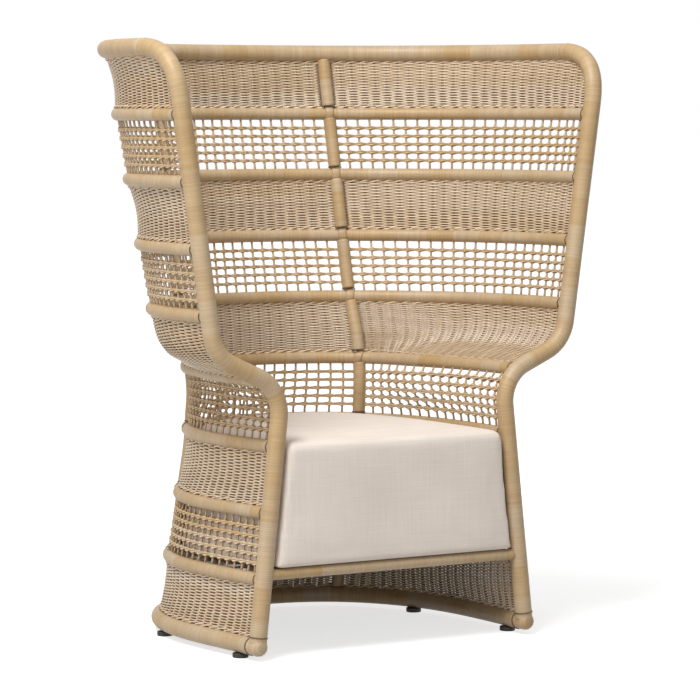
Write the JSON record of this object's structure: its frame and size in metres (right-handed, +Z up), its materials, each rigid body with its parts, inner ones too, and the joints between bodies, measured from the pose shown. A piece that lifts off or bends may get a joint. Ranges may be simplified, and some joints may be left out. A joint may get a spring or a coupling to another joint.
{
  "type": "peacock chair",
  "caption": "High-backed lounge chair with a woven fibre shell that wraps round the sitter, open net bands, and one thick loose seat cushion in pale linen.",
  "frame": {"origin": "floor level under the middle of the chair's box", "axes": "+Z up, +X to the sitter's left when seated and to the right when the chair is seen from its front, -Y to the front"},
  "size_m": [1.112, 0.713, 1.2903],
  "materials": {
    "fibre_wrap": "tubes wrapped in round tan fibre, satin",
    "fibre_weave": "plain weave and twined net of tan fibre, satin",
    "glide_rubber": "moulded, near black, matte",
    "bar_metal": "drawn tube, plain",
    "deck_board": "dark brown webbing deck, matte",
    "cushion_linen": "slubby cream linen, matte",
    "cushion_filling": "open-cell foam, matte"
  },
  "bodies": {
    "root": {"top_rim": "fibre_wrap", "base_hoop": "fibre_wrap", "edge_tube_left": "fibre_wrap", "edge_tube_right": "fibre_wrap", "hoop_1": "fibre_wrap", "hoop_2": "fibre_wrap", "hoop_3": "fibre_wrap", "hoop_4": "fibre_wrap", "hoop_5": "fibre_wrap", "hoop_6": "fibre_wrap", "hoop_7": "fibre_wrap", "hoop_8": "fibre_wrap", "rear_post_left": "fibre_wrap", "rear_post_right": "fibre_wrap", "seat_front_rail": "fibre_wrap", "weave_1_left_wing": "fibre_weave", "weave_1_back": "fibre_weave", "weave_1_right_wing": "fibre_weave", "net_2_left_wing": "fibre_weave", "net_2_back": "fibre_weave", "net_2_right_wing": "fibre_weave", "weave_3_left_wing": "fibre_weave", "weave_3_back": "fibre_weave", "weave_3_right_wing": "fibre_weave", "net_4_left_wing": "fibre_weave", "net_4_back": "fibre_weave", "net_4_right_wing": "fibre_weave", "weave_5_left_wing": "fibre_weave", "weave_5_back": "fibre_weave", "weave_5_right_wing": "fibre_weave", "net_6_left_wing": "fibre_weave", "net_6_back": "fibre_weave", "net_6_right_wing": "fibre_weave", "weave_7_left_wing": "fibre_weave", "weave_7_back": "fibre_weave", "weave_7_right_wing": "fibre_weave", "net_8_left_wing": "fibre_weave", "net_8_back": "fibre_weave", "net_8_right_wing": "fibre_weave", "weave_9_left_wing": "fibre_weave", "weave_9_back": "fibre_weave", "weave_9_right_wing": "fibre_weave", "glide_front_left": "glide_rubber", "glide_front_right": "glide_rubber", "glide_middle_left": "glide_rubber", "glide_middle_right": "glide_rubber", "glide_back": "glide_rubber", "seat_bar_1": "bar_metal", "seat_bar_2": "bar_metal", "seat_bar_3": "bar_metal", "seat_deck": "deck_board", "cushion_cover": "cushion_linen", "cushion_zip": "cushion_linen", "cushion_foam": "cushion_filling"}
  },
  "joints": []
}
